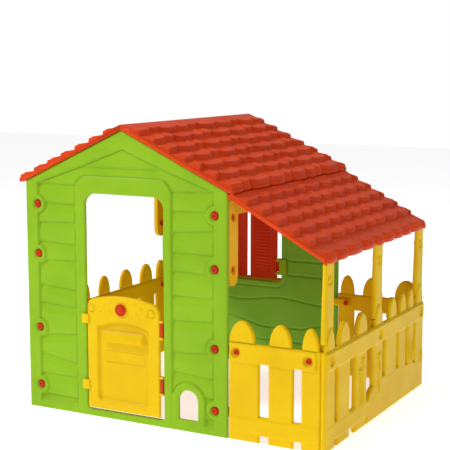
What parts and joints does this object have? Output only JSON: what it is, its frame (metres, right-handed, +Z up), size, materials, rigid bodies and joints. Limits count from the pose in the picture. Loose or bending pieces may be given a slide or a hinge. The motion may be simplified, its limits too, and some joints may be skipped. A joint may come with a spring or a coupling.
{
  "type": "plastic playhouse with porch",
  "caption": "Child's gabled plastic playhouse with a fenced, roofed porch, a hinged half door and a shuttered back window.",
  "frame": {"origin": "middle of the whole object's box in plan, on the floor", "axes": "+Z up; the door wall faces -Y; the porch is on the +X side"},
  "size_m": [1.337, 1.126, 1.1535],
  "materials": {
    "lime_plastic": "blow-moulded, fine satin grain",
    "yellow_plastic": "blow-moulded, fine satin grain",
    "roof_plastic": "blow-moulded, satin",
    "red_plastic": "injection moulded",
    "screw_steel": "zinc plated"
  },
  "bodies": {
    "house": {"front_wall": "lime_plastic", "back_wall": "lime_plastic", "shutter_bracket_left_lower": "lime_plastic", "shutter_bracket_left_upper": "lime_plastic", "shutter_bracket_right_lower": "lime_plastic", "shutter_bracket_right_upper": "lime_plastic", "left_fence": "yellow_plastic", "left_header": "yellow_plastic", "right_header": "yellow_plastic", "porch_front_fence": "yellow_plastic", "porch_back_fence": "yellow_plastic", "porch_side_fence": "yellow_plastic", "porch_post_front": "yellow_plastic", "porch_post_middle": "yellow_plastic", "porch_post_rear": "yellow_plastic", "window_planter": "yellow_plastic", "roof_left": "roof_plastic", "roof_right": "roof_plastic", "porch_roof": "roof_plastic", "door_hinge_upper": "red_plastic", "door_hinge_lower": "red_plastic", "door_hinge_screws_upper": "screw_steel", "door_hinge_screws_lower": "screw_steel", "shutter_pins_left": "screw_steel", "shutter_pins_right": "screw_steel", "front_wall_bolts": "red_plastic", "front_wall_nuts": "red_plastic", "back_wall_bolts": "red_plastic", "back_wall_nuts": "red_plastic", "right_header_bolts": "red_plastic", "right_header_nuts": "red_plastic", "left_header_bolts": "red_plastic", "left_header_nuts": "red_plastic", "porch_front_fence_bolts": "red_plastic", "porch_front_fence_nuts": "red_plastic", "porch_back_fence_bolts": "red_plastic", "porch_back_fence_nuts": "red_plastic", "porch_side_fence_bolts": "yellow_plastic", "porch_side_fence_nuts": "red_plastic", "left_fence_bolts": "red_plastic", "left_fence_nuts": "red_plastic", "porch_post_bolts": "yellow_plastic", "porch_post_nuts": "red_plastic"},
    "half_door": {"door_leaf": "yellow_plastic", "door_knob": "red_plastic", "door_knob_nut": "red_plastic"},
    "left_shutter": {"shutter_left": "red_plastic"},
    "right_shutter": {"shutter_right": "red_plastic"}
  },
  "joints": [
    {"name": "half_door_hinge", "type": "hinge", "parent": "house", "child": "half_door", "pos_m": [-0.0145, -0.544, 0.27], "axis": [0, 0, 1], "range_deg": [0, 100]},
    {"name": "right_shutter_hinge", "type": "hinge", "parent": "house", "child": "right_shutter", "pos_m": [-0.0275, 0.512, 0.575], "axis": [0, 0, -1], "range_deg": [0, 170]},
    {"name": "left_shutter_hinge", "type": "hinge", "parent": "house", "child": "left_shutter", "pos_m": [-0.3455, 0.512, 0.575], "axis": [0, 0, 1], "range_deg": [0, 170]}
  ]
}
